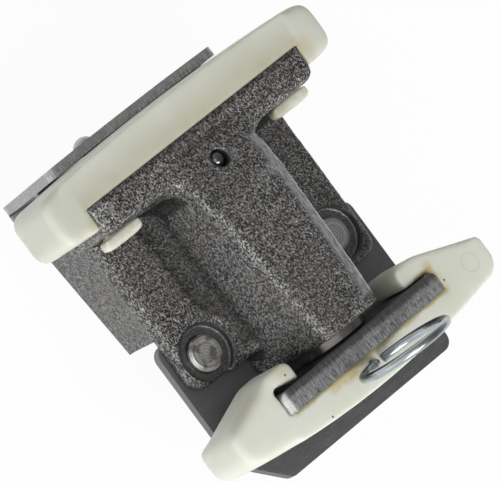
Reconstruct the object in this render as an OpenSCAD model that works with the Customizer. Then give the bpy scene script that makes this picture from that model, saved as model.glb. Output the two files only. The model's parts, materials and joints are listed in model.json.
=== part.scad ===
// Hydraulic timing chain tensioner, lying on its mounting face.
// X runs along the shoes, Y along the plunger's axis towards the fixed shoe, Z up from the mounting face.
// The plunger is held in by its lock pin. All sizes are in millimetres.

/* [Casting] */
// Height of the plunger's axis above the mounting face
axis_z = 35; // [33:0.1:38]
// Width of the flange that carries the fixed shoe
flange_w = 64.8; // [62:0.1:72]
// Thickness of the flange along the plunger's axis
flange_h = 7.5; // [6:0.1:9]
// Height of the flange's underside above the origin
flange_under = 4.6; // [3:0.1:6]
// Reach of the flange's front ahead of the plunger's axis
flange_ahead = 5.5; // [4:0.1:7]
// Radius of the flange's two lower corners
flange_corner_r = 2.8; // [1:0.1:3]
// Radius of the flange's lower front edge
flange_rim_r = 1.4; // [0.5:0.1:2]
// Width of the rear block at the mounting face, level with the origin
block_w = 46.8; // [44:0.1:50]
// Reach of the rear block's front edge above the origin
block_above = 18.4; // [17:0.1:20]
// Reach of the rear block below the origin
block_below = 20.1; // [18:0.1:21]
// Draft angle of the rear block's sides
block_draft = 8; // [4:0.5:10]
// Angle at which the rear block narrows towards the plunger's end
block_taper = 4.3; // [0:0.1:6]
// Tilt of the rear block's upper face, which carries the plates
seat_tilt = 3.6; // [0:0.1:5]
// Reach of the left ear from the plunger's axis
ear_left = 28.4; // [28:0.1:30]
// Reach of the right ear from the plunger's axis
ear_right = 28.9; // [28:0.1:30]
// Reach of the ears below the origin
ear_drop = 33.5; // [33:0.1:36]
// Thickness of the ears
ear_t = 4; // [3.4:0.1:5]
// Distance of the ears' front behind the plunger's axis
ear_behind = 9; // [8.5:0.1:10]
// Corner radius of the ears
ear_r = 3.4; // [2:0.1:5]
// Rounding of the ears' front edges
ear_edge = 1.4; // [0.5:0.1:1.6]
// Wall of the boss in front of the bore, at the plunger's end
boss_wall = 3.6; // [2.6:0.1:6]
// Wall of the boss in front of the bore, where it starts to fall to the flange
boss_shoulder_wall = 1.2; // [1:0.1:2.4]
// Wall of the boss beside the bore, at the plunger's end
boss_side_wall = 2.2; // [1.6:0.1:4]
// Reach of the boss below the origin
boss_drop = 40.1; // [39:0.1:40.6]
// Draft angle of the boss's sides
boss_draft = 10; // [6:0.5:14]
// Angle at which each side of the boss narrows towards the plunger's end
boss_taper = 2.6; // [0:0.1:4]
// Rounding of the boss's front edges
boss_edge_r = 2.4; // [0.8:0.1:3]
// Fillet at the foot of the boss
boss_foot_r = 5; // [2:0.1:6]
// Fillet between the boss and the flange
boss_flange_r = 3.6; // [1:0.1:5]

/* [Mounting] */
// Distance between the two tapped mounting holes
mount_spacing = 28; // [24:0.5:32]
// Drilled diameter of the tapped mounting holes
mount_hole_d = 6.8; // [5:0.1:8]
// Depth of the tapped mounting holes
mount_hole_depth = 14; // [10:0.5:18]
// Diameter of the drilled oil gallery
gallery_d = 4.2; // [3:0.1:5]
// Position of the oil gallery above the origin
gallery_y = 3.6; // [2:0.1:4]
// Depth of the ball plug's crown below the surface
plug_sink = 0.5; // [0.2:0.1:1.5]

/* [Shoes] */
// Depth of both shoes across the chain
shoe_depth = 14.4; // [12:0.1:16]
// Length of the fixed shoe
fixed_shoe_len = 82.7; // [80:0.1:90]
// Thickness of nylon between the flange and the fixed shoe's running face
fixed_shoe_pad = 8.7; // [7:0.1:11]
// Crown radius of the fixed shoe's running face
fixed_shoe_crown_r = 540; // [300:10:800]
// Radius of the fixed shoe's upper corners
fixed_shoe_top_r = 3.2; // [1:0.1:4]
// Radius of the fixed shoe's lower corners
fixed_shoe_lip_r = 3.4; // [1:0.1:4]
// Reach of the shoe's end lips over the flange's ends
lip_reach = 4.9; // [3:0.1:6]
// Length of each prong's staked head
prong_head_len = 11.4; // [10:0.1:13]
// Height of each prong's staked head below the flange
prong_head_h = 2.6; // [1.5:0.1:3]
// Depth of each prong's staked head across the chain
prong_head_depth = 3.6; // [3:0.1:5]
// Length of each prong's shank
prong_len = 7.6; // [5:0.1:9]
// Depth of each prong's shank across the chain
prong_t = 2.4; // [1.6:0.1:2.6]
// Distance of each prong's middle from the plunger's axis
prong_x = 26; // [25:0.1:27]
// Distance of the prongs' middle behind the flange's front
prong_behind = 6; // [4:0.1:8]
// Length of the moving shoe
moving_shoe_len = 78.6; // [74:0.1:86]
// Reach of the moving shoe's front ahead of the plunger's axis
moving_shoe_ahead = 8; // [6:0.1:9]
// Thickness of nylon between the cross bar and the running face
moving_shoe_pad = 7.1; // [6.6:0.1:10]
// Crown radius of the moving shoe's running face
moving_shoe_crown_r = 215; // [180:5:400]
// Height of the moving shoe's blunt ends
tip_h = 8.2; // [6:0.1:9]
// Height of the hooks above the cross bar
hook_h = 5.2; // [4:0.1:6]
// Distance between the two hooks
hook_gap = 33.4; // [29:0.1:36]
// Length of each hook's flat top
hook_len = 6.4; // [4:0.1:8]
// Radius of the moving shoe's lower corners
tip_r = 4.4; // [2:0.1:4.5]
// Height of the scoop under the left hook, for fitting the cross bar
scoop_h = 1.7; // [0.8:0.1:2.2]
// Radius of the scoop's closed end
scoop_r = 1.2; // [0.5:0.1:1.4]

/* [Plunger] */
// Diameter of the plunger
plunger_d = 16; // [15:0.1:17]
// Radial running clearance of the plunger in its bore
plunger_fit = 0.03; // [0.01:0.01:0.08]
// Length of plunger that shows below the boss when locked
plunger_show = 2.5; // [2:0.1:4]
// Travel of the plunger
plunger_travel = 10; // [6:0.5:11]
// Thickness of the plunger's closed end
plunger_nose_t = 6; // [4:0.1:8]
// Wall of the plunger's cup
plunger_cup_wall = 2; // [1.8:0.1:2.2]
// Distance of the plunger's open end from the check valve
plunger_back_gap = 3.3; // [2:0.1:5]
// Diameter of the tenon that holds the head
tenon_d = 8; // [6:0.1:9]
// Length of the cross bar on the plunger's end
head_len = 48; // [44:0.1:50]
// Thickness of the cross bar along the plunger's axis
head_t = 5; // [4:0.1:6]
// Depth of the cross bar across the chain
head_depth = 18.6; // [16:0.1:20]
// Corner radius at the bar's two upper ends
head_corner_r = 1.6; // [0.5:0.1:2]
// Wire diameter of the stop ring in the bore
stop_wire_d = 1.2; // [0.8:0.1:1.4]
// Distance of the stop ring from the boss's end
stop_inset = 3.2; // [2.4:0.1:4]
// Opening of the split stop ring, in degrees
stop_open = 24; // [10:1:40]
// Wire diameter of the plunger spring
spring_wire_d = 1.4; // [1:0.1:1.6]
// Turns of the plunger spring
spring_turns = 9; // [6:1:10]

/* [Check valve] */
// Distance of the bore's end below the origin
bore_end_drop = 7; // [6:0.1:8]
// Thickness of the valve seat
seat_t = 3; // [2:0.1:4]
// Diameter of the valve's oil hole
seat_hole_d = 3.6; // [2.6:0.1:4]
// Diameter of the check ball
check_ball_d = 4.6; // [4.4:0.1:5]
// Lift of the check ball
check_ball_lift = 0.6; // [0.3:0.1:1]
// Length left for the check ball's spring at full lift
check_spring_solid = 2; // [1.8:0.1:3]
// Wire diameter of the check ball's spring
check_wire_d = 0.4; // [0.3:0.05:0.5]
// Mean diameter of the check ball's spring
check_spring_d = 2.6; // [2.2:0.1:3]
// Turns of the check ball's spring
check_spring_turns = 4; // [3:1:4]
// Sheet thickness of the cage
cage_t = 0.7; // [0.5:0.1:0.9]
// Diameter of the cage's oil windows
cage_window_d = 1.6; // [1:0.1:2]

/* [Plates] */
// Thickness of the back plate
back_plate_t = 2.2; // [1.5:0.1:3]
// Reach of the back plate's cut side from the plunger's axis
back_plate_left = 29.4; // [27:0.1:33]
// Reach of the back plate's square side from the plunger's axis
back_plate_right = 31.4; // [27:0.1:33]
// Gap between the back plate's upper edge and the rear block
back_plate_gap = 0.9; // [0.3:0.1:1.5]
// Reach of the back plate below the origin
back_plate_drop = 60.1; // [56:0.1:66]
// Size of the back plate's cut corner
back_plate_cut = 9.3; // [5:0.1:12]
// Corner radius of the back plate
back_plate_r = 2.6; // [1:0.1:3.5]
// Diameter of the plate rivets
rivet_d = 8; // [6:0.1:9]
// Diameter of the plate rivets' rear heads
rivet_head_d = 9.2; // [9:0.1:10]
// Thickness of the plate rivets' rear heads
rivet_head_t = 1.8; // [1:0.1:3]
// Chamfer on the plate rivets' front ends
rivet_bevel = 0.6; // [0.2:0.1:1]
// Diameter of the spot faces round the plate rivets
spot_d = 12.6; // [11:0.1:13.4]
// Depth of the spot faces
spot_depth = 1.7; // [1:0.1:2.6]
// Distance of the plate rivets from the plunger's axis
rivet_x = 21.2; // [20.6:0.1:21.8]
// Reach of the left rivet below the origin
left_rivet_drop = 27.7; // [27:0.1:28]
// Reach of the right rivet below the origin
right_rivet_drop = 25.4; // [25.2:0.1:26.5]
// Width of the cover and spacer plates
cover_w = 51.2; // [46:0.1:54]
// Depth of the cover plate
cover_depth = 24.4; // [20:0.1:24.6]
// Thickness of the cover and spacer plates
cover_t = 2.2; // [1.6:0.1:3]
// Setback of the cover plate behind the rear block's front
cover_setback = 1.1; // [0.3:0.1:2]
// Radius of the cover plate's front corners
cover_corner_r = 2.4; // [1:0.1:5]
// Height that the cover plate bows up in its middle
cover_bow = 0.3; // [0:0.1:0.8]
// Depth of the spacer plate
spacer_depth = 15.5; // [12:0.1:18]
// Distance of the cover rivet from the plunger's axis
cover_rivet_x = 5; // [2:0.1:12]
// Diameter of the cover rivet's head
cover_rivet_head_d = 4.8; // [4:0.1:6]
// Height of the cover rivet's domed head
cover_rivet_head_h = 1.4; // [0.8:0.1:2]
// Diameter of the cover rivet's shank
cover_rivet_d = 3; // [2:0.1:3.6]
// Length of the cover rivet's shank in the casting
cover_rivet_grip = 5; // [3:0.1:7]

/* [Lock pin] */
// Wire diameter of the lock pin
pin_d = 2; // [1.4:0.1:2.2]
// Mean diameter of the pull ring
ring_d = 21; // [17:0.5:26]
// Bend radius between the pin and its ring
pin_bend_r = 1.8; // [1.4:0.1:3]
// Gap of the split ring beside the pin
ring_gap = 0.6; // [0.4:0.1:2]
// Lean of the pull ring away from the casting
ring_lean = 2; // [0:0.5:10]
// Clearance of the pin in its hole
pin_clear = 0.1; // [0.05:0.01:0.3]
// Distance of the pin's axis below the cross bar
pin_below = 2.6; // [2:0.1:4]
// Distance of the pull ring's middle from the plunger's axis
ring_x = 0.3; // [-4:0.1:4]
// Offset of the pin from the pull ring's middle
pin_offset = -0.8; // [-2:0.1:1.8]
// Distance from the shoe's front to the pull ring's wire
ring_stand = 0.8; // [0.3:0.1:3]
// Gap between the pin's tip and the back plate
pin_tip_gap = 0.3; // [0.3:0.1:1]

/* [Hidden] */
$fn = 64;

// Overrun of cutting bodies, and of bodies that are joined
past = 1;
// Radial clearance of pins and rivets in their holes
pin_fit = 0.05;
// Radial clearance of pressed pieces
press_fit = 0.02;
// Gap between faces that rest on each other
rest_gap = 0.2;
// Clearance round moving and staked pieces
run_gap = 0.3;
// Small edge break on stamped and turned pieces
edge_break = 0.3;
// Share of a rounded edge that its first facet takes
facet_share = 0.3;
// Share of the flange's height that the boss's front runs up
ramp_share = 0.4;
// Rounding of a staked head, as a share of its height
stake_share = 0.48;
// Rounding of the moving shoe's shoulders, as a share of the height of its ends
toe_share = 0.45;
// Distance from the moving shoe's ends to its running face, in corner radii
crown_inset = 1.1;
// Rise of a coil's closed turn, in wire radii
closed_rise = 2.1;

// Heights above the mounting face
plunger_r = plunger_d / 2;
bore_r = plunger_r + plunger_fit;
flange_front = axis_z + flange_ahead;
ear_front = axis_z - ear_behind;
ear_rear = ear_front - ear_t;
boss_front = axis_z + bore_r + boss_wall;
boss_shoulder = axis_z + bore_r + boss_shoulder_wall;
shoe_rear = flange_front - shoe_depth;
block_front = shoe_rear - rest_gap;
moving_shoe_front = axis_z + moving_shoe_ahead;
moving_shoe_rear = moving_shoe_front - shoe_depth;
head_rear = axis_z - head_depth / 2;
head_front = axis_z + head_depth / 2;
back_plate_rear = ear_rear - back_plate_t;
prong_z = flange_front - prong_behind;

// Places along the plunger's axis
flange_top = flange_under + flange_h;
fixed_shoe_top = flange_top + fixed_shoe_pad;
lip_end = flange_top - lip_reach;
ramp_end = flange_top - flange_h * ramp_share;
shoulder_y = -flange_under;
head_top = -boss_drop - plunger_show;
head_bottom = head_top - head_t;
hook_top = head_top + hook_h;
running_face = head_bottom - moving_shoe_pad;
pin_y = head_bottom - pin_below;
seat_face = -bore_end_drop - seat_t;
cage_flange_face = seat_face - cage_t;
plunger_open = cage_flange_face - plunger_back_gap;
plunger_nose = head_top + plunger_nose_t;
stop_y = -boss_drop + stop_inset;

// Pieces inside the bore
stop_r = stop_wire_d / 2;
cup_r = plunger_r - plunger_cup_wall;
spring_wire_r = spring_wire_d / 2;
spring_mean_r = cup_r - spring_wire_r - run_gap;
cage_r = spring_mean_r - spring_wire_r - run_gap;
ball_r = check_ball_d / 2;
seat_hole_r = seat_hole_d / 2;
ball_rest = seat_face - sqrt(ball_r ^ 2 - seat_hole_r ^ 2) - pin_fit;
cage_floor = ball_rest - ball_r - check_ball_lift - check_spring_solid;

// Lock pin
pin_r = pin_d / 2;
ring_r = ring_d / 2;
leg_x = ring_x + pin_offset;
pin_tip = ear_rear + pin_tip_gap;
ring_z = moving_shoe_front + ring_stand + pin_r + ring_r;
// Angle of the bend, which ends where its arc meets the ring's
bend_sweep = acos((pin_bend_r - pin_offset) / (ring_r + pin_bend_r));
bend_z = ring_z - (ring_r + pin_bend_r) * sin(bend_sweep);

function unit(v) = v / norm(v);
function turn(v) = v > 180 ? v - 360 : v < -180 ? v + 360 : v;
function mirrored(points) = [for (i = [len(points) - 1:-1:0]) [-points[i].x, points[i].y, points[i].z]];

// Points of an arc of radius r that rounds the corner b between a and c
function corner_arc(a, b, c, r, steps) =
    let (u = unit(a - b), w = unit(c - b))
    let (half = acos(max(-1, min(1, u * w))) / 2)
    let (centre = b + unit(u + w) * r / sin(half))
    let (p = b + u * r / tan(half) - centre, q = b + w * r / tan(half) - centre)
    let (first = atan2(p.y, p.x), sweep = turn(atan2(q.y, q.x) - first))
    [for (i = [0:steps]) centre + r * [cos(first + sweep * i / steps), sin(first + sweep * i / steps)]];

// Outline whose corners [x, y, r] are each rounded by their own radius
function rounded(corners, steps = 6) =
    let (n = len(corners), at = [for (c = corners) [c.x, c.y]])
    [for (i = [0:n - 1])
        each corners[i].z == 0
            ? [at[i]]
            : corner_arc(at[(i + n - 1) % n], at[i], at[(i + 1) % n], corners[i].z, steps)];

// Fall of a crowned face of radius r at a distance x from its middle
function crown_fall(r, x) = r - sqrt(r ^ 2 - x ^ 2);

// Half width of the boss's drafted side at height z
function boss_half(z) = bore_r + boss_side_wall + (axis_z - z) * tan(boss_draft);

// Solid from an outline in X and Z, between two places on Y
module along_y(low, high) {
    translate([0, high, 0]) rotate([90, 0, 0]) linear_extrude(high - low) children();
}

// Solid from an outline in Y and Z, centred on X
module along_x(width) {
    rotate([90, 0, 90]) translate([0, 0, -width / 2]) linear_extrude(width) children();
}

// Solid from an outline in X and Y, between two heights
module upright(low, high) {
    translate([0, 0, low]) linear_extrude(high - low) children();
}

// Round bar along Y
module rod_y(r, low, high, x = 0, z = axis_z) {
    translate([x, high, z]) rotate([90, 0, 0]) cylinder(h = high - low, r = r);
}

// Round hole or pin along Z
module rod_z(r, low, high, x, y) {
    translate([x, y, low]) cylinder(h = high - low, r = r);
}

// Body turned about the plunger's axis from an outline of [radius, place on Y]
module turned_y(outline) {
    translate([0, 0, axis_z]) rotate([-90, 0, 0]) rotate_extrude($fn = 96) polygon(outline);
}

// Wire coil along the plunger's axis, with a closed turn at each end
module coil(mean_r, wire_r, low, high, turns, sides = 8, steps = 16) {
    count = turns * steps;
    rise = high - low - 2 * wire_r;
    closed = closed_rise * wire_r;
    pitch = (rise - 2 * closed) / (turns - 2);
    function climb(t) =
        t < 1 ? closed * t
        : t > turns - 1 ? rise - closed * (turns - t)
        : closed + pitch * (t - 1);
    points = [for (i = [0:count], k = [0:sides - 1])
        let (a = 360 * i / steps, b = 360 * k / sides)
        let (r = mean_r + wire_r * cos(b))
        [r * cos(a), low + wire_r + climb(i / steps) + wire_r * sin(b), axis_z + r * sin(a)]];
    skin = [for (i = [0:count - 1], k = [0:sides - 1])
        let (m = (k + 1) % sides)
        [i * sides + k, i * sides + m, (i + 1) * sides + m, (i + 1) * sides + k]];
    caps = [[for (k = [0:sides - 1]) sides - 1 - k], [for (k = [0:sides - 1]) count * sides + k]];
    polyhedron(points, concat(skin, caps));
}

// Puts its children on the rear block's tilted upper face: Y up from it, Z from its front edge
module on_seat() {
    translate([0, block_above, block_front]) rotate([-seat_tilt, 0, 0]) children();
}

// Everything outside the right side of the rear block
module block_side_cut() {
    reach = 2 * axis_z;
    translate([block_w / 2, 0, 0]) rotate([0, block_draft, -block_taper])
        translate([0, -reach, -reach]) cube([reach, 2 * reach, 2 * reach]);
}

module casting_block() {
    wide = block_w + 2 * block_front;
    difference() {
        upright(0, block_front)
            polygon([[-wide / 2, -block_below], [wide / 2, -block_below], [wide / 2, block_above],
                     [-wide / 2, block_above]]);
        block_side_cut();
        mirror([1, 0, 0]) block_side_cut();
        on_seat() translate([-wide, 0, -2 * block_front]) cube([2 * wide, block_above, 3 * block_front]);
    }
}

module ear_outline(inset) {
    left = -ear_left + inset;
    right = ear_right - inset;
    low = -ear_drop + inset;
    high = flange_under + past;
    r = ear_r - inset;
    polygon(rounded([[left, low, r], [right, low, r], [right, high, 0], [left, high, 0]]));
}

module casting_ears() {
    facet = ear_edge * facet_share;
    hull() {
        upright(ear_rear, ear_front - ear_edge) ear_outline(0);
        upright(ear_rear, ear_front - facet) ear_outline(facet);
        upright(ear_rear, ear_front) ear_outline(ear_edge);
    }
}

module casting_flange() {
    x = flange_w / 2;
    low = block_front - past;
    intersection() {
        upright(low, flange_front)
            polygon(rounded([[-x, flange_under, flange_corner_r], [x, flange_under, flange_corner_r],
                             [x, flange_top, edge_break], [-x, flange_top, edge_break]]));
        along_x(flange_w + 2 * past)
            polygon(rounded([[flange_under, low, 0], [flange_top, low, 0], [flange_top, flange_front, 0],
                             [flange_under, flange_front, flange_rim_r]]));
    }
}

// Fillet along the boss's right flank, under the flange
module boss_flange_fillet() {
    r = boss_flange_r;
    low = ear_rear - axis_z;
    high = flange_ahead - flange_rim_r;
    translate([boss_half(axis_z), flange_under, axis_z]) rotate([0, -boss_draft, 0])
        upright(low, high) difference() {
            translate([-past, -r]) square([r + past, r + past]);
            translate([r, -r]) circle(r = r);
        }
}

// Right half of the boss: drafted flank, rounded front edge and a fillet where it meets the ear
module boss_side() {
    crest = boss_half(boss_front);
    foot = boss_half(ear_front);
    tail = boss_half(ear_rear);
    wing = foot + boss_foot_r + past;
    inner = -crest / 2;
    translate([0, -boss_drop, 0]) rotate([0, 0, -boss_taper]) translate([0, boss_drop, 0]) {
        along_y(-ear_drop, flange_top + past)
            polygon(rounded([[inner, ear_rear, 0], [wing, ear_rear, 0], [wing, ear_front, 0],
                             [foot, ear_front, boss_foot_r], [crest, boss_front, boss_edge_r],
                             [inner, boss_front, 0]]));
        along_y(-boss_drop - past, -ear_drop + past)
            polygon(rounded([[inner, ear_rear, 0], [tail, ear_rear, 0],
                             [crest, boss_front, boss_edge_r], [inner, boss_front, 0]]));
        boss_flange_fillet();
    }
}

module casting_boss() {
    low = ear_rear - past;
    intersection() {
        union() {
            boss_side();
            mirror([1, 0, 0]) boss_side();
        }
        along_x(flange_w)
            polygon([[-boss_drop, low], [flange_top, low], [flange_top, flange_front],
                     [ramp_end, flange_front], [shoulder_y, boss_shoulder], [-boss_drop, boss_front]]);
    }
}

// Height of the boss's front where the gallery comes out
function plug_surface() =
    flange_front + (boss_shoulder - flange_front) * (ramp_end - gallery_y) / (ramp_end - shoulder_y);

module prong_slot() {
    x = prong_len / 2 + rest_gap;
    z = prong_t / 2 + rest_gap;
    along_y(flange_under - past, flange_top + past)
        polygon([[-x, prong_z - z], [x, prong_z - z], [x, prong_z + z], [-x, prong_z + z]]);
}

module plate_rivet_cuts(x, drop) {
    rod_z(rivet_d / 2 + pin_fit, ear_rear - past, ear_front + past, x, -drop);
    rod_z(spot_d / 2, ear_front - spot_depth, boss_front, x, -drop);
}

module casting_cuts() {
    groove_r = stop_r + pin_fit;
    rod_y(bore_r, -boss_drop - past, -bore_end_drop);
    rod_y(plunger_r + groove_r, stop_y - groove_r, stop_y + groove_r);
    rod_y(seat_hole_r, -bore_end_drop - past, gallery_y);
    rod_z(gallery_d / 2, -past, boss_front, 0, gallery_y);
    plate_rivet_cuts(-rivet_x, left_rivet_drop);
    plate_rivet_cuts(rivet_x, right_rivet_drop);
    for (side = [-1, 1]) {
        rod_z(mount_hole_d / 2, -past, mount_hole_depth, side * mount_spacing / 2, 0);
        translate([side * prong_x, 0, 0]) prong_slot();
    }
    cover_rivet_hole();
}

module housing() {
    color([0.30, 0.29, 0.28]) difference() {
        union() {
            casting_block();
            casting_ears();
            casting_flange();
            casting_boss();
        }
        casting_cuts();
    }
}

// One prong of the fixed shoe, staked over under the flange
module staked_prong() {
    half = prong_len / 2;
    head = prong_head_len / 2;
    head_high = flange_under - run_gap;
    head_low = head_high - prong_head_h;
    round_r = prong_head_h * stake_share;
    upright(prong_z - prong_t / 2, prong_z + prong_t / 2)
        polygon([[-half, head_low + round_r], [half, head_low + round_r], [half, flange_top + past],
                 [-half, flange_top + past]]);
    upright(prong_z - prong_head_depth / 2, prong_z + prong_head_depth / 2)
        polygon(rounded([[-head, head_low, round_r], [head, head_low, round_r], [head, head_high, round_r],
                         [-head, head_high, round_r]]));
}

module fixed_shoe() {
    x = fixed_shoe_len / 2;
    inner = flange_w / 2 + pin_fit;
    crown_x = x - 2 * fixed_shoe_top_r;
    steps = 24;
    crown = [for (i = [0:steps]) let (at = crown_x - 2 * crown_x * i / steps)
        [at, fixed_shoe_top - crown_fall(fixed_shoe_crown_r, at), 0]];
    end = [[inner, flange_top, 0], [inner, lip_end, 0], [x, lip_end, fixed_shoe_lip_r],
           [x, fixed_shoe_top - crown_fall(fixed_shoe_crown_r, x), fixed_shoe_top_r]];
    color([0.84, 0.84, 0.78]) {
        upright(shoe_rear, flange_front) polygon(rounded(concat(end, crown, mirrored(end))));
        for (side = [-1, 1]) translate([side * prong_x, 0, 0]) staked_prong();
    }
}

module back_plate() {
    high = -block_below - back_plate_gap;
    low = -back_plate_drop;
    rear = back_plate_rear - past;
    front = ear_rear + past;
    color([0.28, 0.28, 0.29]) difference() {
        upright(back_plate_rear, ear_rear)
            polygon(rounded([[-back_plate_left, high, back_plate_r],
                             [-back_plate_left, low + back_plate_cut, back_plate_r],
                             [-back_plate_left + back_plate_cut, low, back_plate_r],
                             [back_plate_right, low, back_plate_r], [back_plate_right, high, back_plate_r]]));
        rod_z(rivet_d / 2 + pin_fit, rear, front, -rivet_x, -left_rivet_drop);
        rod_z(rivet_d / 2 + pin_fit, rear, front, rivet_x, -right_rivet_drop);
        rod_z(pin_r + pin_clear, rear, front, leg_x, pin_y);
    }
}

// Turned rivet with a chamfered front end and a flat rear head
module plate_rivet(x, drop) {
    r = rivet_d / 2;
    head_r = rivet_head_d / 2;
    rear = back_plate_rear - rivet_head_t;
    front = ear_front - rest_gap;
    color([0.45, 0.45, 0.45]) translate([x, -drop, 0]) rotate_extrude()
        polygon([[0, rear], [head_r - edge_break, rear], [head_r, rear + edge_break],
                 [head_r, back_plate_rear], [r, back_plate_rear], [r, front - rivet_bevel],
                 [r - rivet_bevel, front], [0, front]]);
}

module left_plate_rivet() {
    plate_rivet(-rivet_x, left_rivet_drop);
}

module right_plate_rivet() {
    plate_rivet(rivet_x, right_rivet_drop);
}

// Upper or lower edge of the bowed cover plate, seen from the front
function bowed_edge(y) =
    let (steps = 16)
    [for (i = [0:steps]) let (at = 2 * i / steps - 1) [at * cover_w / 2, y + cover_bow * (1 - at ^ 2)]];

function reversed(points) = [for (i = [len(points) - 1:-1:0]) points[i]];

// The cover rivet's place on the seat, with Y along the rivet
module at_cover_rivet() {
    on_seat() translate([-cover_rivet_x, 0, -cover_setback - cover_depth + spacer_depth / 2]) children();
}

module cover_rivet_hole() {
    depth = cover_rivet_grip + past;
    at_cover_rivet() rotate([-90, 0, 0]) translate([0, 0, -depth])
        cylinder(h = depth + 2 * cover_t + cover_bow + past, r = cover_rivet_d / 2 + pin_fit);
}

module cover_plate() {
    x = cover_w / 2;
    front = -cover_setback;
    rear = front - cover_depth;
    color([0.50, 0.50, 0.50]) difference() {
        on_seat() intersection() {
            upright(rear, front) polygon(concat(bowed_edge(cover_t), reversed(bowed_edge(2 * cover_t))));
            along_y(0, 3 * cover_t)
                polygon(rounded([[-x, rear, edge_break], [x, rear, edge_break], [x, front, cover_corner_r],
                                 [-x, front, cover_corner_r]]));
        }
        cover_rivet_hole();
    }
}

module spacer_plate() {
    color([0.46, 0.46, 0.46]) difference() {
        on_seat() translate([-cover_w / 2, 0, -cover_setback - cover_depth])
            cube([cover_w, cover_t, spacer_depth]);
        cover_rivet_hole();
    }
}

module cover_rivet() {
    head_r = cover_rivet_head_d / 2;
    shank_r = cover_rivet_d / 2;
    seat = 2 * cover_t + cover_bow;
    dome_r = (head_r ^ 2 + cover_rivet_head_h ^ 2) / (2 * cover_rivet_head_h);
    sweep = asin(head_r / dome_r);
    steps = 8;
    dome = [for (i = [0:steps]) let (a = sweep * (1 - i / steps))
        [dome_r * sin(a), seat + cover_rivet_head_h - dome_r + dome_r * cos(a)]];
    color([0.55, 0.55, 0.54]) at_cover_rivet() rotate([-90, 0, 0]) rotate_extrude()
        polygon(concat([[0, -cover_rivet_grip], [shank_r, -cover_rivet_grip], [shank_r, seat]], dome));
}

module gallery_ball_plug() {
    r = gallery_d / 2 - press_fit;
    color([0.75, 0.75, 0.76]) translate([0, gallery_y, plug_surface() - plug_sink - r]) sphere(r = r);
}

module plunger() {
    tenon_r = tenon_d / 2 - press_fit;
    relief_r = plunger_r - stop_r - run_gap;
    relief_low = stop_y - stop_r - run_gap;
    relief_high = stop_y + stop_r + run_gap + plunger_travel;
    bevel = 2 * edge_break;
    color([0.66, 0.66, 0.66])
        turned_y([[0, head_bottom], [tenon_r, head_bottom], [tenon_r, head_top],
                  [plunger_r - bevel, head_top], [plunger_r, head_top + bevel],
                  [plunger_r, relief_low], [relief_r, relief_low],
                  [relief_r, relief_high], [plunger_r, relief_high], [plunger_r, plunger_open - bevel],
                  [plunger_r - bevel, plunger_open], [cup_r, plunger_open], [cup_r, plunger_nose],
                  [0, plunger_nose]]);
}

module plunger_head() {
    x = head_len / 2;
    color([0.45, 0.45, 0.45]) difference() {
        upright(head_rear, head_front)
            polygon(rounded([[-x, head_bottom, edge_break], [x, head_bottom, edge_break],
                             [x, head_top, head_corner_r], [-x, head_top, head_corner_r]]));
        rod_y(tenon_d / 2, head_bottom - past, head_top + past);
    }
}

module moving_shoe() {
    x = moving_shoe_len / 2;
    gap_x = hook_gap / 2;
    brow = gap_x + hook_len;
    toe = tip_h * toe_share;
    crown_end = x - tip_r * crown_inset;
    pocket_x = head_len / 2 + pin_clear;
    pocket_low = head_bottom - press_fit;
    pocket_high = head_top + rest_gap;
    steps = 28;
    running = [for (i = [0:steps]) let (at = crown_end * (2 * i / steps - 1))
        [at, running_face + crown_fall(moving_shoe_crown_r, at), 0]];
    tip_low = running_face + crown_fall(moving_shoe_crown_r, x - toe / 2);
    end = [[x, tip_low, tip_r], [x, tip_low + tip_h, toe / 2], [brow, hook_top - edge_break, toe],
           [gap_x, hook_top, toe / 2], [gap_x, pocket_high, 0]];
    color([0.84, 0.84, 0.78]) difference() {
        upright(moving_shoe_rear, moving_shoe_front) polygon(rounded(concat(running, end, mirrored(end))));
        upright(moving_shoe_rear - past, moving_shoe_front + past)
            polygon([[-pocket_x, pocket_low], [pocket_x, pocket_low], [pocket_x, pocket_high],
                     [-pocket_x, pocket_high]]);
        upright(moving_shoe_rear - past, moving_shoe_front + past)
            polygon(rounded([[-pocket_x, pocket_low, 0], [-gap_x, pocket_low, 0], [-gap_x, pocket_high, 0],
                             [-pocket_x, pocket_high + scoop_h, scoop_r]]));
        rod_z(pin_r + pin_clear, moving_shoe_rear - past, moving_shoe_front + past, leg_x, pin_y);
    }
}

module plunger_spring() {
    color([0.55, 0.55, 0.57])
        coil(spring_mean_r, spring_wire_r, plunger_nose + pin_fit, cage_flange_face - pin_fit, spring_turns);
}

module check_valve_seat() {
    outer = plunger_r - pin_fit;
    color([0.62, 0.62, 0.62])
        turned_y([[seat_hole_r, seat_face], [outer, seat_face], [outer, -bore_end_drop],
                  [seat_hole_r, -bore_end_drop]]);
}

module check_ball() {
    color([0.8, 0.8, 0.8]) translate([0, ball_rest, axis_z]) sphere(r = ball_r);
}

module check_ball_spring() {
    mean_r = check_spring_d / 2;
    wire_r = check_wire_d / 2;
    high = ball_rest - sqrt(ball_r ^ 2 - (mean_r - wire_r) ^ 2) - pin_fit;
    color([0.6, 0.6, 0.6])
        coil(mean_r, wire_r, cage_floor + pin_fit, high, check_spring_turns, sides = 6, steps = 12);
}

module check_valve_cage() {
    rim = plunger_r - run_gap;
    end = cage_floor - cage_t;
    vent = cage_r / 4;
    color([0.6, 0.6, 0.58]) difference() {
        turned_y([[cage_r - cage_t, seat_face], [rim, seat_face], [rim, cage_flange_face],
                  [cage_r, cage_flange_face], [cage_r, end], [vent, end], [vent, cage_floor],
                  [cage_r - cage_t, cage_floor]]);
        for (a = [0, 120, 240])
            translate([0, (cage_flange_face + cage_floor) / 2, axis_z]) rotate([0, a, 0])
                cylinder(h = cage_r + past, d = cage_window_d);
    }
}

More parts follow.
